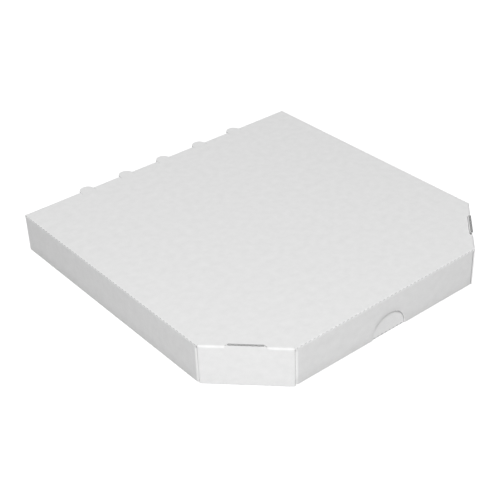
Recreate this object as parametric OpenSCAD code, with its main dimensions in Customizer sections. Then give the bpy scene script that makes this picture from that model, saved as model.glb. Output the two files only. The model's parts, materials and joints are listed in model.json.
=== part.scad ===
// Pizza box folded from white corrugated board, with two clipped front corners.
// The origin is on the table under the middle of the box. The hinge is at +Y.

/* [Box] */
// Width over the lid's side flaps
box_w = 330; // [220:1:500]
// Depth from the lid's front flap to the rear wall
box_d = 330; // [220:1:500]
// Height from the table to the top of the lid
box_h = 40; // [30:0.5:60]
// Width of each clipped front corner, measured along the lid's corner panel
corner_w = 80; // [70:1:110]

/* [Board] */
// Thickness of the corrugated board
board_t = 1.5; // [1:0.1:2]
// Radius on the inside of every fold
fold_inner_r = 0.5; // [0.2:0.1:0.6]
// Air between two layers that are folded against each other
layer_gap = 0.2; // [0.1:0.05:0.5]
// Width of the knife cut between neighbouring flaps
cut_gap = 0.2; // [0.1:0.05:0.5]

/* [Lid] */
// Clearance between the lid and the tray inside it
lid_gap = 0.5; // [0.3:0.1:1.5]
// Height of the side flaps' lower edge above the table
side_lift = 0.3; // [0:0.1:4]
// Height of the front flap's lower edge above the table
front_lift = 1; // [0:0.1:4]
// Height of the corner panels' lower edge above the table
corner_lift = 0.5; // [0:0.1:4]
// Clearance between the lid's rear edge and the rear wall under it
hinge_gap = 0.4; // [0.3:0.05:1]
// Radius of the half-moon thumb notch in the front flap
thumb_r = 20; // [10:0.5:25]

/* [Corner locks] */
// Length of the ears that turn round a clipped corner behind its panel
ear_len = 24; // [10:0.5:26]
// Distance of an ear's edges from the folds above and below it
ear_relief = 1; // [0.5:0.1:3]
// Width of the lock slot at the fold
slot_w = 40; // [30:0.5:44]
// Width of the lock slot at its far side
slot_far_w = 30; // [20:0.5:30]
// Clearance round the lock tab in its slot
tab_gap = 0.3; // [0.2:0.05:0.8]
// How far a lock tab's end stays inside the panel's face
tab_set = 0.3; // [0.1:0.05:0.8]
// Distance of the inner corner panel's side edges from the outer panel's
inner_inset = 2; // [1:0.5:8]
// Height at which the lock tab is cut free from the inner corner panel
tab_len = 9; // [6:0.5:14]
// How far the corner panel's tongue stands above the lid at the slot
lip_h = 1.4; // [0:0.1:2]
// Length of the ears that close the tray's rear corners
rear_ear_len = 45; // [20:1:50]

/* [Rear vents] */
// Number of half-round tabs along the hinge
vent_count = 5; // [1:1:5]
// Distance from one tab to the next
vent_pitch = 47; // [20:0.5:48]
// Radius of a tab
vent_r = 7.5; // [4:0.5:9.5]
// Clearance between a tab and the opening that it leaves in the rear wall
vent_gap = 0.6; // [0.4:0.1:2]

/* [Hidden] */
$fn = 64;

card_white = [0.93, 0.93, 0.93];
diag = sqrt(2);
// Overlap that makes neighbouring stretches of one sheet a single solid
weld = 0.02;

// Folds
fold_r = fold_inner_r + board_t;
layer_pitch = board_t + layer_gap;
roll_w = 2 * layer_pitch + board_t;
// The lock tab leans forward until it stands right behind the corner panel's tongue
slot_depth = layer_pitch + board_t + tab_gap;
inner_low = board_t + layer_gap;

// Hinge line, in the middle of the lid's board
hinge_y = box_d / 2 - board_t / 2;
hinge_z = box_h - board_t / 2;

// A pan is [half width, front face, side height, front height, corner height, corner leg, lip].
// The leg is the length that a clipped corner takes off each side.
lid_leg = corner_w / diag;
lid_pan = [
    box_w / 2, -box_d / 2,
    box_h - side_lift, box_h - front_lift, box_h - corner_lift,
    lid_leg, lip_h
];

// The tray's sides sit one board inside the lid, and its corners inside the lid's rolled panels
tray_in = board_t + lid_gap;
tray_corner_in = roll_w + lid_gap;
tray_h = box_h - board_t - lid_gap;
tray_leg = lid_leg - 2 * tray_in + diag * tray_corner_in;
tray_pan = [
    box_w / 2 - tray_in, -box_d / 2 + tray_in,
    tray_h, tray_h, tray_h,
    tray_leg, -tab_set
];
rear_h = box_h - board_t - hinge_gap;

function half_w(pan) = pan[0];
function front_y(pan) = pan[1];
function side_h(pan) = pan[2];
function front_h(pan) = pan[3];
function corner_h(pan) = pan[4];
function leg(pan) = pan[5];
function lip(pan) = pan[6];
function corner_len(pan) = leg(pan) * diag;

// Start of an ear's turn, seen from the clipped corner's end: depth behind the panel, and place along it
turn_u = layer_pitch + fold_r;
turn_s = fold_r * diag - turn_u;
// Where the wall beside a clipped corner stops and its ear begins to turn
turn_back = (turn_u - turn_s) / diag;

// Half the slot's width at a depth behind the corner panel's face
function slot_half(u) = (slot_w - (slot_w - slot_far_w) * u / slot_depth) / 2;

// Places a section drawn as [depth, height] and carries it along an edge.
// A turn of 0 runs along -Y with the depth towards +X, and 90 along +X with the depth towards +Y.
module along(from, turn, len) {
    translate(from) rotate([90, 0, turn]) linear_extrude(len) children();
}

// Section of one quarter fold: a ring between the inner and the outer fold radius
module quarter_fold() {
    intersection() {
        translate([fold_r, fold_r]) difference() {
            circle(fold_r);
            circle(fold_inner_r);
        }
        square(fold_r);
    }
    translate([fold_r, 0]) square([weld, board_t]);
}

// Fold at the edge of a panel, with its ends mitred for the corner angles at its two ends
module panel_fold(from, turn, len, start_angle, end_angle) {
    function cut(u, angle) = u / tan(angle / 2) + cut_gap / 2;
    translate(from) rotate([90, 0, turn]) intersection() {
        linear_extrude(len) quarter_fold();
        translate([0, fold_r, 0]) rotate([90, 0, 0]) linear_extrude(fold_r) polygon([
            [0, cut(0, start_angle)],
            [fold_r + weld, cut(fold_r + weld, start_angle)],
            [fold_r + weld, len - cut(fold_r + weld, end_angle)],
            [0, len - cut(0, end_angle)]
        ]);
    }
}

// Flat wall that stands up from a fold
module wall(from, turn, len, height) {
    foot = fold_r - weld;
    along(from, turn, len) translate([0, foot]) square([board_t, height - foot]);
}

// Upright fold: a ring sector round [x, y], from a start angle
module upright_fold(centre, start, angle, low, high) {
    lead = [board_t, weld, high - low];
    translate(centre) rotate(start) {
        rotate_extrude(angle = angle) translate([fold_inner_r, low]) square([board_t, high - low]);
        translate([fold_inner_r, -weld, low]) cube(lead);
        rotate(angle) translate([fold_inner_r, 0, low]) cube(lead);
    }
}

// Flat panel inside the folds of a pan
module panel(pan, rear_y) {
    x = half_w(pan) - fold_r;
    y = front_y(pan) + fold_r;
    inner_leg = leg(pan) - fold_r * (2 - diag);
    linear_extrude(board_t) polygon([
        [-x, rear_y], [-x, y + inner_leg], [-x + inner_leg, y],
        [x - inner_leg, y], [x, y + inner_leg], [x, rear_y]
    ]);
}

// Left end of a clipped corner, on the outside of the pan
function corner_start(pan) = [-half_w(pan), front_y(pan) + leg(pan), 0];

// Half of a clipped corner's ears: the wall beside it turns behind the corner panel
module ear(pan, height) {
    low = fold_r + ear_relief;
    high = min(height, corner_h(pan)) - fold_r - ear_relief;
    translate(corner_start(pan)) rotate([90, 0, 45]) translate([layer_pitch, low, turn_s])
        cube([board_t, high - low, ear_len]);
    bend = corner_start(pan) + [fold_r, turn_back, 0];
    upright_fold(bend, 180, 45, fold_r + cut_gap, height);
}

// Section of the corner panel: outer layer, rolled edge and the top of the inner layer
module rolled_section(height) {
    foot = fold_r - weld;
    top = height - fold_r + weld;
    translate([0, foot]) square([board_t, top - foot]);
    translate([0, height]) mirror([0, 1]) quarter_fold();
    translate([fold_r, height - board_t]) square([roll_w - 2 * fold_r, board_t]);
    translate([roll_w, height]) rotate(180) quarter_fold();
}

// Slot beside the corner fold, drawn in plan as [depth, place along the fold]
module slot_cut(pan) {
    middle = corner_len(pan) / 2;
    over = 1;
    translate(corner_start(pan)) rotate([0, 0, -45]) translate([0, 0, -over])
        linear_extrude(fold_r + over) polygon([
            [middle - slot_half(0), -over], [middle - slot_half(0), 0],
            [middle - slot_half(slot_depth), slot_depth],
            [middle + slot_half(slot_depth), slot_depth],
            [middle + slot_half(0), 0], [middle + slot_half(0), -over]
        ]);
}

// Section of the lock tab: it leans forward from the inner layer and ends in the slot
module tab_section() {
    polygon([
        [roll_w - board_t, tab_len], [layer_pitch, inner_low], [layer_pitch, tab_set],
        [layer_pitch + board_t, tab_set], [layer_pitch + board_t, inner_low], [roll_w, tab_len]
    ]);
}

// Tongue of the corner panel: the piece cut out of the slot, which stays in the corner panel's plane
module tongue(pan) {
    middle = corner_len(pan) / 2;
    foot_half = slot_half(0) - cut_gap;
    end_half = slot_half(fold_r + lip(pan)) - cut_gap;
    translate(corner_start(pan)) rotate([0, 0, -45]) translate([middle, board_t, 0]) rotate([90, 0, 0])
        linear_extrude(board_t) polygon([
            [-foot_half, fold_r], [foot_half, fold_r], [end_half, -lip(pan)], [-end_half, -lip(pan)]
        ]);
}

// Corner panel: it comes up from the fold, rolls over the two ears and locks in its own slot
module locked_panel(pan) {
    length = corner_len(pan);
    height = corner_h(pan);
    between_ears = length - 2 * (turn_s + ear_len + tab_gap);
    tab_w = min(2 * (slot_half(slot_depth) - tab_gap), between_ears);
    shoulder_w = (length - tab_w) / 2 - cut_gap - inner_inset;
    translate(corner_start(pan)) rotate([90, 0, 45]) {
        translate([0, 0, cut_gap]) linear_extrude(length - 2 * cut_gap) rolled_section(height);
        translate([roll_w - board_t, tab_len - weld, inner_inset])
            cube([board_t, height - fold_r + 2 * weld - tab_len, length - 2 * inner_inset]);
        for (s = [inner_inset, length - inner_inset - shoulder_w])
            translate([roll_w - board_t, inner_low, s]) cube([board_t, tab_len - inner_low, shoulder_w]);
        translate([0, 0, (length - tab_w) / 2]) linear_extrude(tab_w) tab_section();
    }
    tongue(pan);
}

// Panel, side walls, front wall and locked corners, with the panel's outside on z = 0
module folded_pan(pan, rear_y, wall_rear_y) {
    corner_y = front_y(pan) + leg(pan);
    front_x = half_w(pan) - leg(pan);
    fold_rear_y = max(rear_y, wall_rear_y);
    difference() {
        union() {
            panel(pan, rear_y);
            panel_fold([-front_x, front_y(pan), 0], 90, 2 * front_x, 135, 135);
            for (m = [0, 1]) mirror([m, 0, 0]) {
                panel_fold([-half_w(pan), fold_rear_y, 0], 0, fold_rear_y - corner_y, 180, 135);
                panel_fold(corner_start(pan), 45, corner_len(pan), 135, 135);
            }
        }
        for (m = [0, 1]) mirror([m, 0, 0]) slot_cut(pan);
    }
    wall([-front_x + turn_back, front_y(pan), 0], 90, 2 * (front_x - turn_back), front_h(pan));
    for (m = [0, 1]) mirror([m, 0, 0]) {
        wall([-half_w(pan), wall_rear_y, 0], 0, wall_rear_y - corner_y - turn_back, side_h(pan));
        ear(pan, side_h(pan));
        front_ear(pan);
        locked_panel(pan);
    }
}

// The front wall's ear is the side wall's ear mirrored across the middle of the clipped corner
module front_ear(pan) {
    middle = corner_start(pan) + [leg(pan), -leg(pan), 0] / 2;
    translate(middle) mirror([1, -1, 0]) translate(-middle) ear(pan, front_h(pan));
}

// Places of the half-round tabs along the hinge
vent_xs = [for (i = [0 : vent_count - 1]) (i - (vent_count - 1) / 2) * vent_pitch];

// Tray: floor, rear wall with vent openings, side walls that turn behind it, front wall and corners
module tray() {
    x = half_w(tray_pan);
    rear = box_d / 2;
    ear_y = rear - layer_pitch;
    color(card_white) {
        folded_pan(tray_pan, rear - fold_r, ear_y - fold_r);
        for (m = [0, 1]) mirror([m, 0, 0]) {
            upright_fold([-x + fold_r, ear_y - fold_r, 0], 90, 90, fold_r + cut_gap, tray_h);
            translate([-x + fold_r, ear_y - board_t, fold_r + ear_relief])
                cube([rear_ear_len, board_t, tray_h - fold_r - ear_relief]);
        }
        difference() {
            union() {
                panel_fold([x - fold_r, rear, 0], -90, 2 * (x - fold_r), 180, 180);
                wall([x, rear, 0], -90, 2 * x, rear_h);
            }
            for (vx = vent_xs) translate([vx, rear + board_t, hinge_z]) rotate([90, 0, 0])
                cylinder(r = vent_r + vent_gap, h = 3 * board_t);
        }
    }
}

// Lid: a cap over the tray, with a round rear edge on the hinge line and the vent tabs beyond it
module lid() {
    x = half_w(lid_pan) - fold_r;
    color(card_white) translate([0, 0, box_h]) mirror([0, 0, 1]) {
        difference() {
            folded_pan(lid_pan, hinge_y, box_d / 2);
            translate([0, front_y(lid_pan) - board_t, front_h(lid_pan)]) rotate([-90, 0, 0])
                cylinder(r = thumb_r, h = 3 * board_t);
        }
        translate([-x, hinge_y, board_t / 2]) rotate([0, 90, 0]) cylinder(d = board_t, h = 2 * x);
        for (vx = vent_xs) translate([vx, hinge_y, 0]) cylinder(r = vent_r, h = board_t);
    }
}

tray();
lid();
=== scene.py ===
# %% [markdown]
# A pizza box is one die-cut sheet of thin corrugated board, folded up without glue. This lesson dresses the
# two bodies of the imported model, the tray and the lid that turns on it, as folded board: flat panels, rounded
# folds, knife cuts and fluted cut edges. Every stretch of board is a function of two parameters on a grid,
# so the whole box comes out of a few formulas and a handful of sizes.

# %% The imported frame
import json
import math
from typing import NamedTuple

import bpy
import numpy as np
from mathutils import Matrix, Vector


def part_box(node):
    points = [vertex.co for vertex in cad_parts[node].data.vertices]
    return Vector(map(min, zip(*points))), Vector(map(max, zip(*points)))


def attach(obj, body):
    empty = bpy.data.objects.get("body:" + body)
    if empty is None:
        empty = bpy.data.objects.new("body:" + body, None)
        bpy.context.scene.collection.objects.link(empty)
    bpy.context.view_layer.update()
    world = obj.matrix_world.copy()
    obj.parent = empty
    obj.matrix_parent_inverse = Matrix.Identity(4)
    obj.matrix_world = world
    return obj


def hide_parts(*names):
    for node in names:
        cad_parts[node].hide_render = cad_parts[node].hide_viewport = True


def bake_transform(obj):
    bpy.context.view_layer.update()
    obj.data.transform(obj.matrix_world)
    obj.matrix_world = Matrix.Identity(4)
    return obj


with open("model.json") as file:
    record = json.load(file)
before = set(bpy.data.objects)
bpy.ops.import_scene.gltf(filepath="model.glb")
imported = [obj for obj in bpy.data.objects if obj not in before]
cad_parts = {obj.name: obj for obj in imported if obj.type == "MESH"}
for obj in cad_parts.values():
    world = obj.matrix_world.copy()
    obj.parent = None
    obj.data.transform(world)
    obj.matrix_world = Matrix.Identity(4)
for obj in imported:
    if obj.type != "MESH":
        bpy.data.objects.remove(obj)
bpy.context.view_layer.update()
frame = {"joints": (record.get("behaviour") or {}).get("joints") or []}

# %% [markdown]
# The sizes are in millimetres, as on a maker's drawing, and MM turns them into Blender's metres at the end.
# What the frame knows is read from the frame. The board's own sizes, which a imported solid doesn't name, are
# written once here, and everything else is worked out from them.

# %% Sizes of the box and its board
MM = 0.001
lid_low, lid_high = (np.array(corner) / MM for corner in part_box("lid"))
tray_low, tray_high = (np.array(corner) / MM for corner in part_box("tray"))
hinge_y, hinge_z = (value / MM for value in frame["joints"][0]["pos_m"][1:])

board_t = 1.5
fold_inner_r = 0.5
layer_gap = 0.2
cut_gap = 0.2
fold_r = fold_inner_r + board_t
layer_pitch = board_t + layer_gap
roll_w = 2 * layer_pitch + board_t
box_h = hinge_z + board_t / 2
rear_y = tray_high[1]
lid_gap = lid_high[0] - tray_high[0] - board_t
print(f"box {2 * lid_high[0]:.0f} x {rear_y - lid_low[1]:.0f} x {box_h:.0f} mm, lid gap {lid_gap:.2f} mm")

# %% [markdown]
# Tray and lid are the same kind of pan: a panel with two sides, a front and two clipped corners. The lid is
# only turned over and a little larger. So one set of formulas makes both, from a short list of sizes.


# %% Two pans
class Fold(NamedTuple):
    """Radii of a fold's two liners, and the share of its depth past which a nick gets painted shade."""

    outer_r: float
    inner_r: float
    nick_shade_share: float


class Pan(NamedTuple):
    """Sizes of a pan, open side up, with the outside of its panel on z = 0. A clipped corner takes one leg
    off each side, and its tongue stands out of the panel by the lip."""

    half_w: float
    front_y: float
    side_h: float
    front_h: float
    corner_h: float
    leg: float
    lip: float
    fold: Fold

    @property
    def corner_len(self):
        """Length of a clipped corner, the diagonal of its two legs."""
        return self.leg * math.sqrt(2)

    @property
    def corner_y(self):
        """Where a side ends and its clipped corner begins."""
        return self.front_y + self.leg

    @property
    def front_x(self):
        """Half the length of the front between the clipped corners."""
        return self.half_w - self.leg


corner_w = 80
lid_fold = Fold(0.6, 0.3, 0.45)
tray_fold = Fold(0.6, 0.3, 0.3)
soft_fold = Fold(1.9, 0.4, 1.0)
front_lift = 1.4
corner_lift = 0.1
tab_set = 0.3
tab_gap = 0.3
lip_h = lid_high[2] - box_h
lid_leg = corner_w / math.sqrt(2)
tray_in = board_t + lid_gap
tray_leg = lid_leg - 2 * tray_in + math.sqrt(2) * (roll_w + lid_gap)
tray_h = box_h - board_t - lid_gap
lid_pan = Pan(lid_high[0], lid_low[1], box_h - lid_low[2], box_h - front_lift, box_h - corner_lift,
              lid_leg, lip_h, lid_fold)
tray_pan = Pan(tray_high[0], tray_low[1], tray_h, tray_h, tray_h, tray_leg, -tab_set, tray_fold)
print(f"clipped corners {lid_pan.corner_len:.1f} mm on the lid, {tray_pan.corner_len:.1f} mm on the tray")

# %% [markdown]
# A stretch of board is two grids of points, one for each liner, a board's thickness apart. Its cells become
# quads. Where the knife has cut, a narrow strip joins the two liners: that is the fluted edge. Each corner
# also keeps its place on the sheet before folding, as a UV map, so that paper grain runs on round a fold.


# %% Stretches of board
# The fourth finish is the nick's: torn paper painted darker as the shade inside the dent.
LINER_OUT, LINER_IN, CUT_EDGE, NICK_PAINTED_SHADE = range(4)


def cells(field):
    """Corners of every cell of a grid, in the order that has (first) x (second direction) on its front."""
    corners = [field[:-1, :-1], field[1:, :-1], field[1:, 1:], field[:-1, 1:]]
    return np.stack(corners, axis=2).reshape(-1, 4, field.shape[-1])


def ribbon(outer, inner):
    """Corners of the quads between two lines of points, from one liner to the other."""
    return np.stack([outer[:-1], outer[1:], inner[1:], inner[:-1]], axis=1)


class Sheet:
    """Collects quads with their places on the flat sheet and their finish."""

    def __init__(self):
        self.points = []
        self.flats = []
        self.finishes = []

    def add(self, points, flats, finish, turned=False):
        """Adds quads with one finish or one each, and with their corners in the opposite order if turned."""
        step = -1 if turned else 1
        self.points.append(points[:, ::step])
        self.flats.append(flats[:, ::step])
        self.finishes.append(np.broadcast_to(finish, len(points)))

    def board(self, outer, inner, flat, start=True, end=True, root=True, rim=True, finish=LINER_OUT,
              edge_finish=CUT_EDGE):
        """Adds a grid of board. Its borders, start, end, root and rim, say where the knife has cut:
        all along, nowhere, or for each segment of that border. An edge has one finish or one a border."""
        self.add(cells(outer), cells(flat), finish)
        self.add(cells(inner), cells(flat), LINER_IN, turned=True)
        borders = [(np.s_[0], start, False), (np.s_[-1], end, True),
                   (np.s_[:, 0], root, True), (np.s_[:, -1], rim, False)]
        edge_finishes = np.broadcast_to(edge_finish, len(borders))
        for (place_of, cut, turned), edge in zip(borders, edge_finishes):
            line = outer[place_of]
            kept = np.broadcast_to(cut, len(line) - 1)
            across_flutes = flat[place_of][:, 1]
            edge_flat = [np.stack(np.broadcast_arrays(across_flutes, side), axis=-1) for side in (0.0, 1.0)]
            self.add(ribbon(line, inner[place_of])[kept], ribbon(*edge_flat)[kept], edge, turned)

    def join(self, other, mirror_axis=None, mirror_at=0.0):
        """Adds another sheet, mirrored about a plane if an axis is named."""
        mirrored = mirror_axis is not None
        for points, flats, finishes in zip(other.points, other.flats, other.finishes):
            if mirrored:
                points = points.copy()
                points[..., mirror_axis] = 2 * mirror_at - points[..., mirror_axis]
            self.add(points, flats, finishes, turned=mirrored)


def place(corner, turn, s, u, h):
    """Point on an edge's own axes: from its corner, s along it, u inwards and h up.
    A turn of 0 degrees runs towards -Y with +X inwards, and 90 towards +X with +Y inwards."""
    cos, sin = math.cos(math.radians(turn)), math.sin(math.radians(turn))
    x = corner[0] + s * sin + u * cos
    y = corner[1] - s * cos + u * sin
    return np.stack(np.broadcast_arrays(x, y, h), axis=-1).astype(float)


def lay_flat(corner, turn, s, w):
    """Place on the unfolded sheet: s along the edge, and w outwards from the panel's border."""
    return place(corner, turn, s, fold_r - w, 0.0)[..., :2]


def outside(s, low, high):
    """Says for each segment between the values of s whether its middle is outside a stretch."""
    middle = (s[:-1] + s[1:]) / 2
    return (middle < low) | (middle > high)


print("finishes of a sheet: outer liner, inner liner, cut edge, open nick")

# %% [markdown]
# The long folds are perforated: the die cuts a row of short nicks along each crease, so that the board folds
# where it should. On the folded box they show as a fine row of teeth. A colour pattern alone would vanish at
# a glancing view, so each nick is a real dent, shallow and boat-shaped, on the wall's side of the fold. Its
# deepest cells get a grey of torn paper that is painted darker, as the shade inside the dent.

# %% Perforated folds
nick_pitch = 4.7
nick_len = 2.8
nick_depth = 0.35
nick_middle = math.radians(60)
nick_reach = math.radians(55)
nick_steps = np.array([0, 0.2, 0.25, 0.34, 0.5, 0.66, 0.75, 0.8])
fold_angles = np.linspace(0, math.pi / 2, 9)
fold_flat = (fold_inner_r + board_t / 2) * math.pi / 2


def nicks(s, angle):
    """Depth of the nicks: a half ellipse along each nick times a parabola across the fold."""
    offset = (s % nick_pitch) - nick_pitch / 2
    along = np.sqrt(np.clip(1 - (2 * offset / nick_len) ** 2, 0, None))
    across = np.clip(1 - ((angle - nick_middle) / nick_reach) ** 2, 0, None)
    return nick_depth * along * across


def fold_section(depth, radius, dent=0.0):
    """Section of a quarter fold as [u, h], at a depth below the outer liner: the panel's border, the turn
    u = c - (r - dent) sin a, h = c - (r - dent) cos a with a from panel to wall, and the wall's foot."""
    centre = depth + radius
    reach = radius - dent + np.zeros_like(fold_angles)
    end = np.ones(reach.shape[:-1] + (1,))
    u = np.concatenate([fold_r * end, centre - reach * np.sin(fold_angles), depth * end], axis=-1)
    h = np.concatenate([depth * end, centre - reach * np.cos(fold_angles), fold_r * end], axis=-1)
    return u, h


def fold_board(corner, turn, s, fold, nicked):
    """Quarter fold along an edge, with a radius for each liner. s holds a line of places for each
    point of the section. Gives the two liners, the flat places and the outer liner's finish."""
    dent = nicks(s[:, 1:-1], fold_angles) if nicked else np.zeros_like(s[:, 1:-1])
    outer = place(corner, turn, s, *fold_section(0.0, fold.outer_r, dent))
    inner = place(corner, turn, s, *fold_section(board_t, fold.inner_r))
    flat = lay_flat(corner, turn, s, np.linspace(0, fold_flat, s.shape[1]))
    cell_dent = cells(np.pad(dent, ((0, 0), (1, 1)))[..., None]).mean(axis=(1, 2))
    # Cells deep in a nick get the nick finish: a darker grey painted as the shade inside the dent.
    finish = np.where(cell_dent > fold.nick_shade_share * nick_depth, NICK_PAINTED_SHADE, LINER_OUT)
    return outer, inner, flat, finish


print(f"nicks {nick_len} mm long, one each {nick_pitch} mm")

# %% [markdown]
# At a clipped corner two folds meet at an angle, so each is cut off at a mitre, like a picture frame's sides.
# A fold needs points at both ends of each nick, and wherever a wall, a notch or a vent begins.

# %% Places along a fold
corner_turn = 45
mitre = 1 / math.tan(math.radians(90 - corner_turn / 2))
mitre_room = 1.2
place_digits = 4


def fold_places(length, fold, start_mitre, end_mitre, also=()):
    """Places along a perforated fold, for each point of its section: the columns of the nicks and other
    places put in, between two ends that are cut off at a mitre, s = mitre u."""
    count = int(length / nick_pitch) + 1
    row = np.add.outer(np.arange(count), nick_steps).ravel() * nick_pitch
    row = np.unique(np.round(np.concatenate([row[row > mitre_room], also]), place_digits))
    row = row[(row > cut_gap) & (row < length - mitre_room)]
    u = fold_section(0.0, fold.outer_r)[0]
    first = start_mitre * u + cut_gap / 2
    last = length - end_mitre * u - cut_gap / 2
    inner = np.broadcast_to(row[:, None], (len(row), len(u)))
    return np.concatenate([first[None], inner, last[None]])


print(f"a mitre takes {mitre:.2f} mm off for each mm of depth")

# %% [markdown]
# A wall stands up from its fold. At a clipped corner it turns by 45 degrees and runs on as an ear behind the
# corner panel, and at the tray's rear it turns by 90. Seen from above that is a path: a straight run, an arc
# and a short straight end. The wall is that path carried up in height. Along a cut the knife presses the soft
# board together, which rounds its outer liner.

# %% Walls with ears
ear_len = 24
rear_ear_len = 45
ear_relief = 1
ear_taper = 2.5
ear_arc_points = 8
turn_depth = layer_pitch + fold_r
turn_place = fold_r * math.sqrt(2) - turn_depth
turn_back = (turn_depth - turn_place) / math.sqrt(2)
wall_rows = np.array([0, 0.02, 0.35, 0.7, 1])
crush_r = 1.1
crush_angles = np.radians([30, 60, 90])
slack = 0.001


def ear_path(angle, length):
    """Path of an upright fold and its ear beyond a straight run: places, depths, angles turned, lengths and
    where it is ear. The fold is an arc of radius fold_r that turns inwards, and the ear is its tangent."""
    arc = np.radians(np.linspace(0, angle, ear_arc_points)[1:])
    run = np.array([ear_taper, length / 2, length])
    turned = np.concatenate([arc, np.full(len(run), arc[-1])])
    beyond = np.concatenate([np.zeros(len(arc)), run])
    s = fold_r * np.sin(turned) + beyond * np.cos(turned)
    u = fold_r - fold_r * np.cos(turned) + beyond * np.sin(turned)
    return s, u, turned, fold_r * turned + beyond, beyond > 0


def wall_columns(straight, top, ends, ear_top):
    """Columns of a wall over a straight run of places, with an ear at each end that has one:
    places, depths, angles turned, lengths, lower edges and upper edges."""
    level = np.zeros_like(straight)
    columns = [(straight, level, level, straight, level + fold_r, top)]
    for side, angle, length in ends:
        end = -1 if side > 0 else 0
        anchor = straight[end]
        s, u, turned, travelled, is_ear = ear_path(angle, length)
        ear_low = np.where(is_ear, fold_r + ear_relief, fold_r + cut_gap)
        ear_high = np.where(is_ear, ear_top[side], top[end])
        piece = (anchor + side * s, u, side * turned, anchor + side * travelled, ear_low, ear_high)
        if side > 0:
            columns = columns + [piece]
        else:
            columns = [tuple(values[::-1] for values in piece)] + columns
    return [np.concatenate(values)[:, None] for values in zip(*columns)]


def wall_board(corner, turn, straight, top, ends, ear_top, crush=crush_r, bow=0.0, cut_start=False):
    """Wall in columns from lower to upper edge: h = low + q (high - low). The knife crushes the outer liner
    to a quarter circle at the upper edge, and at a start that is cut. A bow leans the wall inwards, evenly
    with height and as half a sine from end to end."""
    s, u, turned, travelled, low, high = wall_columns(straight, top, ends, ear_top)
    bends = crush_angles if crush else crush_angles[:0]
    flat_h = low + wall_rows * (high - crush - low)
    h = np.concatenate([flat_h, high - crush + crush * np.sin(bends)], axis=1)
    sink = np.concatenate([np.zeros(len(wall_rows)), crush - crush * np.cos(bends)])
    if cut_start:
        to_round = np.clip(crush - (s - straight[0]), 0, crush)
        off_fold = np.arange(len(sink)) > 0
        sink = np.maximum(sink, (crush - np.sqrt(crush ** 2 - to_round ** 2)) * off_fold)
    share = np.clip((s - straight[0]) / (straight[-1] - straight[0]), 0, 1)
    u = u + bow * np.sin(math.pi * share) * (h - low) / (high - low)
    outer = place(corner, turn, s - sink * np.sin(turned), u + sink * np.cos(turned), h)
    inner = place(corner, turn, s - board_t * np.sin(turned), u + board_t * np.cos(turned), h)
    flat = lay_flat(corner, turn, travelled, fold_flat + h - fold_r)
    return outer, inner, flat, travelled[:, 0]


def folded_wall(sheet, fold, corner, turn, places, run, top, ends, ear_top, root_cut=False, **wall_form):
    """Adds a perforated fold and the wall on it, whose straight run lies between the two values of run.
    Gives the places along the panel's border."""
    outer, inner, flat, finish = fold_board(corner, turn, places, fold, nicked=True)
    rim = places[:, -1]
    sheet.board(outer, inner, flat, root=root_cut, rim=outside(rim, *run), finish=finish)
    straight = rim[(rim > run[0] - slack) & (rim < run[1] + slack)]
    wall = wall_board(corner, turn, straight, top(straight), ends, ear_top, **wall_form)
    outer, inner, flat, travelled = wall
    sheet.board(outer, inner, flat, root=outside(travelled, *run))
    return places[:, 0]


print(f"ears turn {turn_back:.2f} mm before a clipped corner")

# %% [markdown]
# The clipped corner is the clever part. Its panel comes off a fold, rolls over the two ears at its free edge
# and locks with a tab in a slot beside that same fold. In the slot the fold is cut away, so the panel's own
# edge, the tongue, stands free there. All of these share their places along the corner, so that they meet
# without gaps, and those places come first.

# %% Places along a corner
slot_w = 40
slot_far_w = 30
slot_depth = layer_pitch + board_t + tab_gap
inner_inset = 2
corner_fold_columns = np.linspace(0, 1, 14)
crush_turns = np.radians([0, 30, 60])
crush_in = crush_r * (1 - np.cos(crush_turns))
crush_sink = np.concatenate([crush_r * (1 - np.sin(crush_turns)), np.zeros(len(corner_fold_columns))])
tongue_crush = 0.25


class CornerPlaces(NamedTuple):
    """Places along a clipped corner: its two short folds, and the panel's columns with their sinks.
    The slit's two sides bound the lock tab, and squeeze is the inner layer's share of the outer's width."""

    corner: np.ndarray
    middle: float
    left: np.ndarray
    right: np.ndarray
    s: np.ndarray
    sink: np.ndarray
    tongue_half: float
    slit: np.ndarray
    squeeze: float

    def within(self, half):
        """Says for each segment between columns whether it is this near to the middle."""
        return ~outside(self.s, self.middle - half, self.middle + half)


def slot_half(u):
    """Half the width of the lock slot at a depth: it narrows evenly from the fold to its far side."""
    return (slot_w - (slot_w - slot_far_w) * u / slot_depth) / 2


def corner_places(pan):
    """Places of a clipped left corner: crushed edge, evenly to the slot, tongue and slits, and mirrored."""
    length = pan.corner_len
    middle = length / 2
    u = fold_section(0.0, pan.fold.outer_r)[0]
    h = fold_section(0.0, soft_fold.outer_r)[1]
    near = mitre * u + cut_gap / 2
    begin = near + crush_r
    slot_side = middle - slot_half(fold_r - h)
    evenly = begin + corner_fold_columns[:, None] * (slot_side - begin)
    left = np.concatenate([near + crush_in[:, None], evenly])
    right = length - left[::-1]
    squeeze = (length - 2 * inner_inset) / (length - cut_gap)
    tongue_half = slot_half(0) - cut_gap
    tab_half = slot_half(slot_depth) - tab_gap
    slit = np.array([tab_half, tab_half + cut_gap]) / squeeze
    tongue_edge = tongue_half - np.append(crush_in, crush_r) * tongue_crush
    inside = middle + np.concatenate([-tongue_edge, -slit[::-1], slit, tongue_edge[::-1]])
    s = np.concatenate([left[:, -1], inside, right[:, -1]])
    sink = np.concatenate([crush_sink, np.zeros(len(inside)), crush_sink[::-1]])[:, None]
    corner = np.array([-pan.half_w, pan.corner_y])
    return CornerPlaces(corner, middle, left, right, s, sink, tongue_half, slit, squeeze)


print(f"lock slots {slot_w} mm wide at the fold and {slot_far_w} mm at the far side")

# %% [markdown]
# The short folds beside the slot have no nicks, so they bend more softly and catch a broad band of light.
# At the mitre they meet sharper neighbours, so their radius starts small and grows over a few millimetres.

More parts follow.
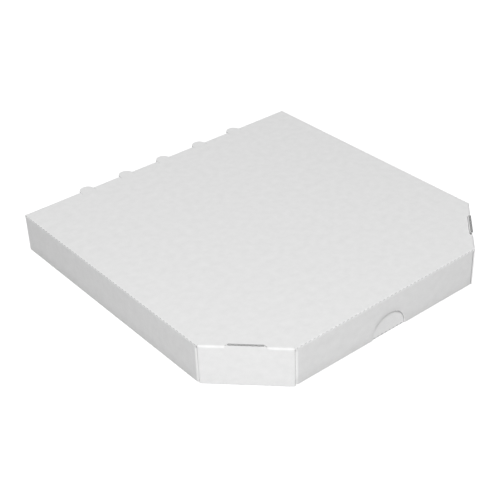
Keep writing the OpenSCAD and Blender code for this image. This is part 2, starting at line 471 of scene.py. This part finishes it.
# %% Short corner folds
fold_ramp = np.linspace(0, 1, len(fold_angles) + 2) ** 2
soften_len = 3


def crushed(outer, inner, sink):
    """Outer liner pressed towards the inner one by a sink in millimetres."""
    return outer + (inner - outer) * sink[..., None] / board_t


def corner_folds(sheet, pan, at):
    """Adds the two short folds. Their crushed ends sink by a share that grows as a square down the fold."""
    softness = np.clip((at.left[:, -1:] - at.left[0, -1]) / soften_len, 0, 1)
    outer_r = pan.fold.outer_r + softness * (soft_fold.outer_r - pan.fold.outer_r)
    halves = ((at.left, crush_sink, outer_r), (at.right, crush_sink[::-1], outer_r[::-1]))
    for places, sink, radius in halves:
        fold = soft_fold._replace(outer_r=radius)
        outer, inner, flat, _ = fold_board(at.corner, corner_turn, places, fold, nicked=False)
        outer = crushed(outer, inner, sink[:, None] * fold_ramp)
        sheet.board(outer, inner, flat, root=False, rim=False, edge_finish=LINER_OUT)


print(f"corner folds soften within {soften_len} mm")

# %% [markdown]
# One section, carried along the corner, makes the panel's outer layer, its roll over the ears and its inner
# layer. The inner layer is cut a little narrower, so that it goes in easily.

# %% Rolled panels
tab_len = 9
roll_r = 1.0
roll_layers = ((0.0, roll_r), (board_t, fold_inner_r))


def rolled_section(height, depth, radius):
    """Section of the rolled panel as [u, h], at a depth below its outer liner: outer layer, quarter turn,
    flat top, quarter turn and inner layer."""
    centre = depth + radius
    shoulder = height - centre
    up = fold_r + wall_rows * (shoulder - fold_r)
    down = shoulder - wall_rows[1:] * (shoulder - tab_len)
    u = np.concatenate([
        np.full(len(up), depth),
        centre - radius * np.cos(fold_angles[1:]),
        roll_w - centre + radius * np.sin(fold_angles),
        np.full(len(down), roll_w - depth),
    ])
    h = np.concatenate([
        up,
        shoulder + radius * np.sin(fold_angles[1:]),
        shoulder + radius * np.cos(fold_angles),
        down,
    ])
    return u, h


def rolled_panel(sheet, pan, at):
    """Adds the rolled panel, with the inner layer's width squeezed, and gives the length of its section."""
    sections = [rolled_section(pan.corner_h, *layer) for layer in roll_layers]
    steps = np.hypot(*(np.diff(line) for line in sections[0]))
    walked = np.concatenate([[0], np.cumsum(steps)])
    in_outer_layer = np.arange(len(walked)) < len(walked) - len(wall_rows)
    along = at.middle + (at.s[:, None] - at.middle) * np.where(in_outer_layer, 1.0, at.squeeze)
    outer, inner = (place(at.corner, corner_turn, along, u, h) for u, h in sections)
    flat = lay_flat(at.corner, corner_turn, along, fold_flat + walked)
    beside_tongue = at.within(slot_half(0)) & ~at.within(at.tongue_half)
    in_slits = at.within(at.slit[1]) & ~at.within(at.slit[0])
    sheet.board(crushed(outer, inner, at.sink), inner, flat, root=beside_tongue, rim=in_slits)
    return walked[-1]


print(f"rolls {roll_w:.1f} mm wide, with {roll_r:.1f} mm radius")

# %% [markdown]
# Two narrower grids continue the rolled panel. The tongue is the outer layer's own edge in the slot. The lock
# tab ends the inner layer: it leans forward into the slot, right behind the tongue, and so holds the corner.

# %% Tongues and lock tabs
inner_low = board_t + layer_gap
tab_crush = 0.75
end_turns = np.append(0, crush_angles)
tongue_row_count = 4
tongue_edges = [LINER_OUT, LINER_OUT, CUT_EDGE, CUT_EDGE]


def tongue(sheet, pan, at):
    """Adds the tongue, which narrows with the slot. Its sides sink more towards its end."""
    rows = np.linspace(-pan.lip, fold_r, tongue_row_count)
    half = slot_half(fold_r - rows) - cut_gap
    in_tongue = np.abs(at.s - at.middle) < at.tongue_half + cut_gap / 2
    s = at.middle + (at.s[in_tongue] - at.middle)[:, None] * half / at.tongue_half
    outer, inner = (place(at.corner, corner_turn, s, depth, rows) for depth in (0.0, board_t))
    count = len(crush_in)
    sink = np.zeros((len(s), len(rows)))
    sink[:count] = crush_sink[:count, None] * tongue_crush * (fold_r - rows) / (fold_r + pan.lip)
    sink[-count:] = sink[count - 1::-1]
    flat = lay_flat(at.corner, corner_turn, s, fold_flat + rows - fold_r)
    sheet.board(crushed(outer, inner, sink), inner, flat, rim=False, edge_finish=tongue_edges)


def lock_tab(sheet, pan, at, walked):
    """Adds the inner layer's lower border: upright at the sides, and in the middle the tab, which leans
    forward by one layer, evenly with height, and has a rounded end."""
    side_rows = np.array([tab_len, (tab_len + inner_low) / 2, inner_low])
    tab_rows = np.concatenate([side_rows, tab_crush * (1 - np.sin(end_turns)) - pan.lip])
    tab_pinch = np.concatenate([np.zeros(len(side_rows)), tab_crush * (1 - np.cos(end_turns))])
    lean = np.clip((tab_len - tab_rows) / (tab_len - inner_low), 0, 1) * layer_pitch
    offset = at.s - at.middle
    room = cut_gap / 4
    stretches = [
        (offset < room - at.slit[1], side_rows, 0.0, 0.0),
        (np.abs(offset) < at.slit[0] + room, tab_rows, lean, tab_pinch),
        (offset > at.slit[1] - room, side_rows, 0.0, 0.0),
    ]
    for kept, rows, forward, pinch in stretches:
        s = at.middle + offset[kept][:, None] * at.squeeze
        depths = (roll_w - forward, roll_w - board_t - forward)
        outer, inner = (place(at.corner, corner_turn, s, depth, rows) for depth in depths)
        flat = lay_flat(at.corner, corner_turn, s, fold_flat + walked + tab_len - rows)
        sheet.board(crushed(outer, inner, at.sink[kept] + pinch), inner, flat, root=False)


def locked_corner(sheet, pan):
    """Adds a clipped left corner. Gives the panel's outline along it, round the slot, and the number of
    points before the slot."""
    at = corner_places(pan)
    corner_folds(sheet, pan, at)
    walked = rolled_panel(sheet, pan, at)
    tongue(sheet, pan, at)
    lock_tab(sheet, pan, at, walked)
    far_side = at.middle + slot_half(slot_depth) * np.array([-1, 1])
    left, right = (lay_flat(at.corner, corner_turn, places[:, 0], 0.0) for places in (at.left, at.right))
    slot = lay_flat(at.corner, corner_turn, far_side, fold_r - slot_depth)
    return np.concatenate([left, slot, right]), len(left)


print(f"tongues stand {lip_h:.1f} mm above the lid")

# %% [markdown]
# The panel inside the folds has a long outline with a sample at every nick. Rings that shrink towards its
# middle turn that outline into a surface: P = centre + r (outline - centre). That needs every point of the
# outline to be in sight of the centre, which holds here, slots included.

# %% Panels
panel_rings = np.array([0.0, 0.35, 0.7, 1.0])


def flat_board(sheet, plan, **cuts):
    """Adds board that lies flat: its plan at the height of each liner."""
    liners = [np.pad(plan, ((0, 0), (0, 0), (0, 1)), constant_values=height) for height in (0.0, board_t)]
    sheet.board(*liners, plan, **cuts)


def panel_board(sheet, outline, cut):
    """Adds a flat panel: rings from its centre out to the outline."""
    closed = np.concatenate([outline, outline[:1]])
    centre = (outline.min(axis=0) + outline.max(axis=0)) / 2
    plan = centre + panel_rings[:, None] * (closed - centre)[:, None]
    flat_board(sheet, plan, start=False, end=False, root=False, rim=cut)


print("panels with", len(panel_rings), "rings")

# %% [markdown]
# Now a whole pan. The left side and corner are made once and mirrored for the right. The front spans both.
# The outline of the panel is put together from the borders of the folds round it, in the same places, so
# that panel and folds weld into one skin.

# %% A pan from its folds
notch_bends = np.radians(np.linspace(-90, 90, 49))


class RearEnds(NamedTuple):
    """Where a pan's side folds, its side walls and its panel end at the rear."""

    fold_y: float
    wall_y: float
    panel_y: float


def side_and_corner(pan, rear, ends):
    """Left side and left corner of a pan, with the panel's outline along them and where that is cut.
    A side that has no ear at the rear is cut there."""
    sheet = Sheet()
    length = rear.fold_y - pan.corner_y
    panel_start = rear.fold_y - rear.panel_y
    run = (max(rear.fold_y - rear.wall_y, cut_gap / 2), length - turn_back)
    cut_start = all(side > 0 for side, _, _ in ends)
    also = [*run, panel_start]
    if cut_start:
        also += [*(run[0] + crush_in), run[0] + crush_r]
    places = fold_places(length, pan.fold, 0.0, mitre, also)
    beyond_panel = outside(places[:, 0], panel_start, length)
    ear_top = {1: min(pan.side_h, pan.corner_h) - fold_r - ear_relief, -1: pan.side_h}

    def top(s):
        return np.full_like(s, pan.side_h)

    corner = np.array([-pan.half_w, rear.fold_y])
    border = folded_wall(sheet, pan.fold, corner, 0, places, run, top, ends, ear_top, beyond_panel,
                         cut_start=cut_start)
    side_outline = lay_flat(corner, 0, border[border > panel_start - cut_gap], 0.0)
    corner_outline, before_slot = locked_corner(sheet, pan)
    cut = np.zeros(len(side_outline) + len(corner_outline), bool)
    cut[len(side_outline) - 1] = True
    slot_start = len(side_outline) + before_slot - 1
    cut[slot_start:slot_start + 3] = True
    cut[-1] = True
    return sheet, np.concatenate([side_outline, corner_outline]), cut


def front_side(pan, notch_r, bow):
    """Front of a pan between its clipped corners, with the panel's outline along it. A half-moon notch takes
    the square root of r^2 - s^2 off its height."""
    sheet = Sheet()
    length = 2 * pan.front_x
    middle = length / 2
    run = (turn_back, length - turn_back)
    notch = middle + notch_r * np.sin(notch_bends)
    places = fold_places(length, pan.fold, mitre, mitre, [*run, *notch])
    ear_top = dict.fromkeys((1, -1), min(pan.front_h, pan.corner_h) - fold_r - ear_relief)

    def top(s):
        return pan.front_h - np.sqrt(np.clip(notch_r ** 2 - (s - middle) ** 2, 0, None))

    corner = np.array([-pan.front_x, pan.front_y])
    ends = [(1, corner_turn, ear_len), (-1, corner_turn, ear_len)]
    border = folded_wall(sheet, pan.fold, corner, 90, places, run, top, ends, ear_top, bow=bow)
    return sheet, lay_flat(corner, 90, border, 0.0)


def pan_sheet(pan, rear, rear_outline, rear_cut, side_ends, notch_r=0.0, bow=0.0):
    """Panel, sides, front and locked corners of a pan. The rear outline runs from right to left."""
    half, left, left_cut = side_and_corner(pan, rear, side_ends)
    front, front_outline = front_side(pan, notch_r, bow)
    right = left[::-1] * (-1, 1)
    right_cut = left_cut[:-1][::-1]
    outline = np.concatenate([left, front_outline, right, rear_outline])
    front_cut = np.zeros(len(front_outline), bool)
    front_cut[-1] = True
    cut = np.concatenate([left_cut, front_cut, right_cut, rear_cut])
    sheet = Sheet()
    sheet.join(half)
    sheet.join(half, mirror_axis=0)
    sheet.join(front)
    panel_board(sheet, outline, cut)
    return sheet


print("a pan is one half, mirrored, a front and a panel")

# %% [markdown]
# The tray's rear wall carries the hinge. The knife cuts five half-round tabs out of it, which leave vents.
# So its upper edge is a function of x, level below the crease and a circle round each tab. The front wall
# is held only at its foot and its ears, so it bows inwards a little at its top.

# %% Tray
vent_count = 5
vent_pitch = 47
vent_r = lid_high[1] - hinge_y
vent_gap = 0.6
vent_columns = 15
crease_reach = 5
front_bow = 2
crease_low = box_h - crease_reach
crease_front = rear_y - crease_reach
vent_xs = (np.arange(vent_count) - (vent_count - 1) / 2) * vent_pitch
opening_r = vent_r + vent_gap


def rear_top(x):
    """Upper edge of the rear wall: level below the crease, and a circle round each tab."""
    offset = np.abs(x[:, None] - vent_xs).min(axis=1)
    return np.minimum(crease_low, hinge_z - np.sqrt(np.clip(opening_r ** 2 - offset ** 2, 0, None)))


def rear_wall():
    """Rear wall on its perforated fold, with the panel's outline along it. It spans the sides' ears."""
    length = 2 * (tray_pan.half_w - fold_r)
    corner = np.array([length / 2, rear_y])
    round_bend = np.arccos((hinge_z - crease_low) / opening_r)
    bends = opening_r * np.sin(np.linspace(-round_bend, round_bend, vent_columns))
    vent_places = corner[0] - np.add.outer(vent_xs, bends).ravel()
    places = fold_places(length, tray_fold, 0.0, 0.0, vent_places)
    sheet = Sheet()
    outer, inner, flat, finish = fold_board(corner, -90, places, tray_fold, nicked=True)
    sheet.board(outer, inner, flat, root=False, rim=False, finish=finish)
    straight = np.concatenate([[-fold_r], places[:, -1], [length + fold_r]])
    top = rear_top(corner[0] - straight)
    outer, inner, flat, s = wall_board(corner, -90, straight, top, [], {}, crush=0.0)
    sheet.board(outer, inner, flat, root=outside(s, 0, length))
    return sheet, lay_flat(corner, -90, places[:, 0], 0.0)


def tray_board():
    """The tray: a pan whose sides turn behind a rear wall with vent openings."""
    wall, outline = rear_wall()
    cut = np.zeros(len(outline) + 1, bool)
    cut[[0, -1]] = True
    rear_fold = rear_y - fold_r
    rear = RearEnds(rear_fold, rear_fold - layer_pitch, rear_fold)
    side_ends = [(1, corner_turn, ear_len), (-1, 90, rear_ear_len)]
    sheet = pan_sheet(tray_pan, rear, outline, cut, side_ends, bow=front_bow)
    sheet.join(wall)
    return sheet


tray_sheet = tray_board()
print("tray:", sum(map(len, tray_sheet.points)), "quads")

# %% [markdown]
# The lid is the same kind of pan, a little larger and turned over by a mirror. Its front has the half-moon
# thumb notch. The tabs from the rear wall stay in the lid's plane, past the hinge: each is a grid from the
# panel's rear border out to a half circle.

# %% Lid
thumb_r = 20
tab_bends = np.radians(np.linspace(-90, 90, 25))
tab_rings = np.linspace(0, 1, 4)


def vent_tab(sheet, centre):
    """Adds a half-round tab: lines from the panel's rear border to y = hinge + r cos a, at x = r sin a."""
    x = centre + vent_r * np.sin(tab_bends)
    y_end = hinge_y + vent_r * np.cos(tab_bends)
    y = crease_front + tab_rings * (y_end - crease_front)[:, None]
    plan = np.stack(np.broadcast_arrays(x[:, None], y), axis=-1)[:, ::-1]
    flat_board(sheet, plan, rim=False)


def lid_board():
    """The lid: a pan turned over, with a thumb notch in front and tabs that run on past the hinge."""
    stems = np.add.outer(vent_xs[::-1], -vent_r * np.sin(tab_bends)).ravel()
    outline = np.stack([stems, np.full_like(stems, crease_front)], axis=-1)
    cut = np.zeros(len(stems) + 1, bool)
    cut[::len(tab_bends)] = True
    rear = RearEnds(rear_y, rear_y, crease_front)
    side_ends = [(1, corner_turn, ear_len)]
    sheet = pan_sheet(lid_pan, rear, outline, cut, side_ends, notch_r=thumb_r)
    for centre in vent_xs:
        vent_tab(sheet, centre)
    lid = Sheet()
    lid.join(sheet, mirror_axis=2, mirror_at=box_h / 2)
    return lid


lid_sheet = lid_board()
print("lid:", sum(map(len, lid_sheet.points)), "quads")

# %% [markdown]
# The hinge is a crease between the rear wall and the lid, in stretches from tab to tab. On the real box it
# bends when the lid turns, and the other two stay stiff, so here it is a piece of its own: a section carried
# along each stretch.

# %% Hinge crease
crease_columns = np.linspace(0, 1, 13)
crease_flats = np.linspace(0, 1, 5)
crease_outer_r = 0.9
crease_inner_r = 0.3
crease_layers = [(0.0, crease_outer_r), (board_t, crease_inner_r)]


def crease_section(depth, radius):
    """Section of the crease as [y, z], at a depth below the outer liner: wall, quarter fold and lid."""
    y_turn = rear_y - depth - radius
    z_turn = box_h - depth - radius
    wall_z = crease_low + crease_flats * (z_turn - crease_low)
    lid_y = y_turn + crease_flats * (crease_front - y_turn)
    y = np.concatenate([np.full(len(wall_z), rear_y - depth),
                        y_turn + radius * np.cos(fold_angles[1:-1]), lid_y])
    z = np.concatenate([wall_z, z_turn + radius * np.sin(fold_angles[1:-1]),
                        np.full(len(lid_y), box_h - depth)])
    return y, z


def crease_board():
    """The board between the tabs: each stretch ends on the vent's circle below and beside the tab above."""
    sheet = Sheet()
    sections = [crease_section(*layer) for layer in crease_layers]
    y, z = sections[0]
    below = np.clip(hinge_z - z, 0, None)
    beside = np.where(z < hinge_z, np.sqrt(opening_r ** 2 - below ** 2), vent_r + cut_gap)
    half_w = np.full(len(z), tray_pan.half_w)
    lefts = [-half_w] + [centre + beside for centre in vent_xs]
    rights = [centre - beside for centre in vent_xs] + [half_w]
    walked = np.concatenate([[0], np.cumsum(np.hypot(np.diff(y), np.diff(z)))])
    for left, right in zip(lefts, rights):
        x = right + crease_columns[:, None] * (left - right)
        liners = [np.stack(np.broadcast_arrays(x, *section), axis=-1) for section in sections]
        flat = np.stack(np.broadcast_arrays(x, rear_y + crease_reach - walked), axis=-1)
        sheet.board(*liners, flat)
    return sheet


crease_sheet = crease_board()
print("crease:", len(vent_xs) + 1, "stretches")

# %% [markdown]
# The paper liner is matte and white. Up close it isn't even: the pulp forms soft clouds, single fibres show
# as fine flecks, and the flutes under it print through as faint lines. All three are noise and waves on the
# flat sheet's own coordinates, so they follow the board round every fold. Clouds and flecks change the
# colour by a percent or two, and flecks and flutes lift the surface a little.

# %% Paper liner
flute_pitch = 3.4
flute_wave = 2 * math.pi / (flute_pitch * MM)


def set_inputs(tree, node, **inputs):
    """Sets a shader node's inputs: a socket is linked, and anything else is a plain value."""
    for name, value in inputs.items():
        socket = node.inputs[int(name[1:])] if name[1:].isdigit() else node.inputs[name.replace("_", " ")]
        if isinstance(value, bpy.types.NodeSocket):
            tree.links.new(value, socket)
        else:
            socket.default_value = value


def add_node(tree, kind, **inputs):
    """Adds a shader node with its inputs."""
    node = tree.nodes.new(kind)
    set_inputs(tree, node, **inputs)
    return node


def maths(tree, operation, *values):
    """One step of arithmetic on sockets or numbers."""
    node = add_node(tree, "ShaderNodeMath", **{f"i{index}": value for index, value in enumerate(values)})
    node.operation = operation
    return node.outputs[0]


def new_material(name):
    """Empty node material with its principled shader and the place on the flat sheet in metres.
    On a cut edge the second number is the depth through the board, in thousandths of it."""
    material = bpy.data.materials.new(name)
    material.use_nodes = True
    tree = material.node_tree
    shader = tree.nodes["Principled BSDF"]
    sheet_place = tree.nodes.new("ShaderNodeUVMap")
    sheet_place.uv_map = "board"
    return material, tree, shader, sheet_place.outputs["UV"]


def grey_between(tree, factor, dark, light):
    """Grey that goes from dark to light with a factor."""
    grey = add_node(tree, "ShaderNodeMapRange", Value=factor, To_Min=dark, To_Max=light).outputs[0]
    return add_node(tree, "ShaderNodeCombineColor", i0=grey, i1=grey, i2=grey).outputs[0]


def liner_material(name, dark, light):
    """Paper liner: clouds, flecks and flute lines on the flat sheet."""
    material, tree, shader, uv = new_material(name)
    clouds = add_node(tree, "ShaderNodeTexNoise", Vector=uv, Scale=130, Detail=3, Roughness=0.55)
    flecks = add_node(tree, "ShaderNodeTexNoise", Vector=uv, Scale=1500, Detail=2, Roughness=0.6)
    across_flutes = add_node(tree, "ShaderNodeSeparateXYZ", Vector=uv).outputs[1]
    flutes = maths(tree, "SINE", maths(tree, "MULTIPLY", across_flutes, flute_wave))
    mix = maths(tree, "ADD", maths(tree, "MULTIPLY", clouds.outputs["Fac"], 0.6),
                maths(tree, "MULTIPLY", flecks.outputs["Fac"], 0.4))
    rough = add_node(tree, "ShaderNodeMapRange", Value=flecks.outputs["Fac"], To_Min=0.7, To_Max=0.86)
    lift = maths(tree, "ADD", maths(tree, "MULTIPLY", flutes, 0.35), flecks.outputs["Fac"])
    bump = add_node(tree, "ShaderNodeBump", Strength=0.25, Distance=0.12 * MM, Height=lift)
    set_inputs(tree, shader, Base_Color=grey_between(tree, mix, dark, light), Roughness=rough.outputs[0],
               Specular_IOR_Level=0.3, Normal=bump.outputs[0])
    return material


outer_liner = liner_material("white_liner", dark=0.775, light=0.945)
inner_liner = liner_material("inside_liner", dark=0.76, light=0.86)
print("liners:", outer_liner.name, inner_liner.name)

# %% [markdown]
# A cut edge shows the board's section: two liners with a wavy layer glued between them and hollows on both
# sides of the wave, where the shade inside is painted as a dark grey. The edge's UV runs across the flutes
# along the sheet and from 0 to 1 through the board, so one sine gives the wave: long waves on slanted cuts,
# and a plain line on a cut along a flute. In a nick the paper is torn instead, and rough grey fibres painted
# darker than the liner stand in for the shade inside the dent.

# %% Fluted cut edge and nick shade
fibre_scale = 900
torn_rough = 0.9
torn_shine = 0.2


def torn_finish(name):
    """Material of raw board, rough and dull, with a noise of fibres."""
    material, tree, shader, uv = new_material(name)
    set_inputs(tree, shader, Roughness=torn_rough, Specular_IOR_Level=torn_shine)
    fibres = add_node(tree, "ShaderNodeTexNoise", Vector=uv, Scale=fibre_scale, Detail=2).outputs["Fac"]
    return material, tree, shader, uv, fibres


def cut_edge_material():
    """Section of the board: paper where the liners or the wave are, and painted shade in the hollows elsewhere.
    """
    material, tree, shader, uv, fibres = torn_finish("fluted_edge")
    axes = add_node(tree, "ShaderNodeSeparateXYZ", Vector=uv)
    phase = maths(tree, "MULTIPLY", axes.outputs[0], flute_wave)
    wave = maths(tree, "MULTIPLY", maths(tree, "SINE", phase), 0.32)
    middle = maths(tree, "SUBTRACT", maths(tree, "DIVIDE", axes.outputs[1], MM), 0.5)
    from_wave = maths(tree, "ABSOLUTE", maths(tree, "SUBTRACT", middle, wave))
    from_liner = maths(tree, "SUBTRACT", 0.5, maths(tree, "ABSOLUTE", middle))
    from_paper = maths(tree, "MINIMUM", from_wave, from_liner)
    hollow_shade = add_node(tree, "ShaderNodeMapRange", Value=from_paper, From_Min=0.08, From_Max=0.2)
    hollow_shade.interpolation_type = "SMOOTHSTEP"
    # The hollows are painted 0.2 grey as the shade inside the flutes; 0.62 is the cut paper's own grey.
    grey = grey_between(tree, hollow_shade.outputs[0], 0.62, 0.2)
    height = maths(tree, "SUBTRACT", maths(tree, "MULTIPLY", fibres, 0.3), hollow_shade.outputs[0])
    bump = add_node(tree, "ShaderNodeBump", Strength=0.6, Distance=0.4 * MM, Height=height)
    set_inputs(tree, shader, Base_Color=grey, Normal=bump.outputs[0])
    return material


def nick_shade_material():
    """Torn paper in a nick, rough grey fibres painted darker than the liner as the shade in the dent."""
    material, tree, shader, _, fibres = torn_finish("nick_painted_shade")
    # This grey stands in for the shade inside the dent, over the torn fibres.
    set_inputs(tree, shader, Base_Color=grey_between(tree, fibres, 0.38, 0.64))
    return material


fluted_edge = cut_edge_material()
nick_painted_shade = nick_shade_material()
print("cut board:", fluted_edge.name, nick_painted_shade.name)

# %% [markdown]
# A sheet so far is loose quads that share places. Rounding those places to a tenth of a micron and keeping
# each one once welds them into a skin. Folds then shade smoothly, and edges sharper than 30 degrees stay
# crisp. A quad with two corners in one place, as at a panel's centre, becomes a triangle.

# %% Meshes
weld_digits = 4
sharp_angle = math.radians(30)


def add_object(name, data):
    """Puts a mesh, a camera or a light into the scene."""
    obj = bpy.data.objects.new(name, data)
    bpy.context.scene.collection.objects.link(obj)
    return obj


def skin(name, sheet):
    """Welds a sheet's quads into a mesh object with its UV map and finishes."""
    quads = np.concatenate(sheet.points)
    flats = np.concatenate(sheet.flats) * MM
    finishes = np.concatenate(sheet.finishes)
    rounded = np.round(quads.reshape(-1, 3), weld_digits) + 0.0
    places, index = np.unique(rounded, axis=0, return_inverse=True)
    index = index.reshape(-1, 4)
    doubled = index == np.roll(index, -1, axis=1)
    whole = ~doubled.any(axis=1)
    pole = doubled.sum(axis=1) == 1
    kept = (doubled[pole].argmax(axis=1)[:, None] + np.arange(1, 4)) % 4
    triangles = np.take_along_axis(index[pole], kept, axis=1)
    triangle_flats = np.take_along_axis(flats[pole], kept[..., None], axis=1)
    mesh = bpy.data.meshes.new(name)
    mesh.from_pydata((places * MM).tolist(), [], index[whole].tolist() + triangles.tolist())
    corner_flats = np.concatenate([flats[whole].reshape(-1, 2), triangle_flats.reshape(-1, 2)])
    layer = mesh.uv_layers.new(name="board")
    layer.uv.foreach_set("vector", corner_flats.astype(np.float32).ravel())
    slots = np.concatenate([finishes[whole], finishes[pole]])
    for material in (outer_liner, inner_liner, fluted_edge, nick_painted_shade):
        mesh.materials.append(material)
    mesh.polygons.foreach_set("material_index", slots.astype(np.int32))
    mesh.shade_smooth()
    mesh.set_sharp_from_angle(angle=sharp_angle)
    changed = mesh.validate(verbose=True)
    print(name, len(mesh.polygons), "faces", "mended" if changed else "sound")
    return add_object(name, mesh)


tray_piece = skin("tray_board", tray_sheet)
lid_piece = skin("lid_board", lid_sheet)
crease_piece = skin("hinge_crease", crease_sheet)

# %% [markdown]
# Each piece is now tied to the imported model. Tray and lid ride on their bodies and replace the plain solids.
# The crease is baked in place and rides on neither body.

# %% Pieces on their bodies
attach(tray_piece, "tray")
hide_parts("tray")
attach(lid_piece, "lid")
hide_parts("lid")
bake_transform(crease_piece)

# %% [markdown]
# The camera stands where the photograph was taken from: in front of the left corner, a third of the way up,
# with a long lens. The numbers come from fitting a pinhole camera to the corners of the box.

# %% Camera
azimuth, elevation, roll = (math.radians(angle) for angle in (-38.55, 33.362, -2.121))
camera_at = Vector((-0.5721, -0.69334, 0.59887))
focal_share = 1116.6 / 500
sensor_w = 36


def direction_to(azimuth, elevation):
    """Unit direction from the box to a place: azimuth 0 is in front of it, and 90 degrees to its right."""
    flat = math.cos(elevation)
    return Vector((math.sin(azimuth) * flat, -math.cos(azimuth) * flat, math.sin(elevation)))


back = direction_to(azimuth, elevation)
level = (-back).cross(Vector((0, 0, 1))).normalized()
upright = level.cross(-back)
right = level * math.cos(roll) + upright * math.sin(roll)
top = upright * math.cos(roll) - level * math.sin(roll)
camera = add_object("camera", bpy.data.cameras.new("camera"))
camera.data.sensor_width = sensor_w
camera.data.lens = focal_share * sensor_w
camera.matrix_world = Matrix.Translation(camera_at) @ Matrix((right, top, back)).transposed().to_4x4()
bpy.context.scene.camera = camera
print(f"lens {camera.data.lens:.1f} mm")

# %% [markdown]
# One soft lamp stands on the camera's side, a little higher, so the clipped corner that faces it is the
# brightest side. A weak light from behind on the right keeps the other sides readable.

# %% Lamps


def lamp(name, azimuth_deg, elevation_deg, distance, size, power):
    """Square soft light that looks at the box from an azimuth and an elevation in degrees."""
    data = bpy.data.lights.new(name, "AREA")
    data.size = size
    data.energy = power
    obj = add_object(name, data)
    aim = direction_to(math.radians(azimuth_deg), math.radians(elevation_deg))
    obj.location = aim * distance
    obj.rotation_mode = "QUATERNION"
    obj.rotation_quaternion = aim.to_track_quat("Z", "Y")
    return obj


key = lamp("key_light", azimuth_deg=-39.5, elevation_deg=44, distance=3.0, size=1.0, power=81.5)
rear_right = lamp("rear_right_light", azimuth_deg=150, elevation_deg=45, distance=1.7, size=1.2, power=6)
print("lights:", key.name, rear_right.name)

# %% [markdown]
# Around the box all is white, as in a studio, but so much bounced light would wash out the walls. So sky and
# floor ask what kind of ray meets them: the camera sees white, and bounced light a dim sky and a pale floor.

# %% Sky and floor
sky_light = 0.1
floor_grey = 0.455
floor_glow = 0.78
floor_half = 20


def seen_directly(tree):
    """1 for rays from the camera, from gloss and through glass, 0 for light that bounces."""
    path = tree.nodes.new("ShaderNodeLightPath")
    seen = maths(tree, "MAXIMUM", path.outputs["Is Camera Ray"], path.outputs["Is Glossy Ray"])
    return maths(tree, "MAXIMUM", seen, path.outputs["Is Transmission Ray"])


def white_sky():
    """World that is white to the camera and dim to bounced light."""
    world = bpy.data.worlds.new("studio")
    world.use_nodes = True
    tree = world.node_tree
    seen = seen_directly(tree)
    strength = add_node(tree, "ShaderNodeMapRange", Value=seen, To_Min=sky_light, To_Max=1.0)
    set_inputs(tree, tree.nodes["Background"], Color=(1, 1, 1, 1), Strength=strength.outputs[0])
    return world


def floor_material():
    """Pale matte floor that adds up to white where the light falls on it."""
    material = bpy.data.materials.new("pale_floor")
    material.use_nodes = True
    tree = material.node_tree
    tree.nodes.remove(tree.nodes["Principled BSDF"])
    pale = add_node(tree, "ShaderNodeBsdfDiffuse", Color=(floor_grey, floor_grey, floor_grey, 1))
    strength = maths(tree, "MULTIPLY", seen_directly(tree), floor_glow)
    glow = add_node(tree, "ShaderNodeEmission", Strength=strength)
    both = add_node(tree, "ShaderNodeAddShader", i0=pale.outputs[0], i1=glow.outputs[0])
    set_inputs(tree, tree.nodes["Material Output"], Surface=both.outputs[0])
    return material


def floor_plane():
    """Flat square that the box stands on."""
    corners = floor_half * np.array([(-1, -1, 0), (1, -1, 0), (1, 1, 0), (-1, 1, 0)])
    mesh = bpy.data.meshes.new("floor")
    mesh.from_pydata(corners.tolist(), [], [[0, 1, 2, 3]])
    mesh.materials.append(floor_material())
    return add_object("floor", mesh)


bpy.context.scene.world = white_sky()
floor = floor_plane()
bpy.context.scene.view_settings.view_transform = "Standard"
print("stage:", bpy.context.scene.world.name, floor.name)
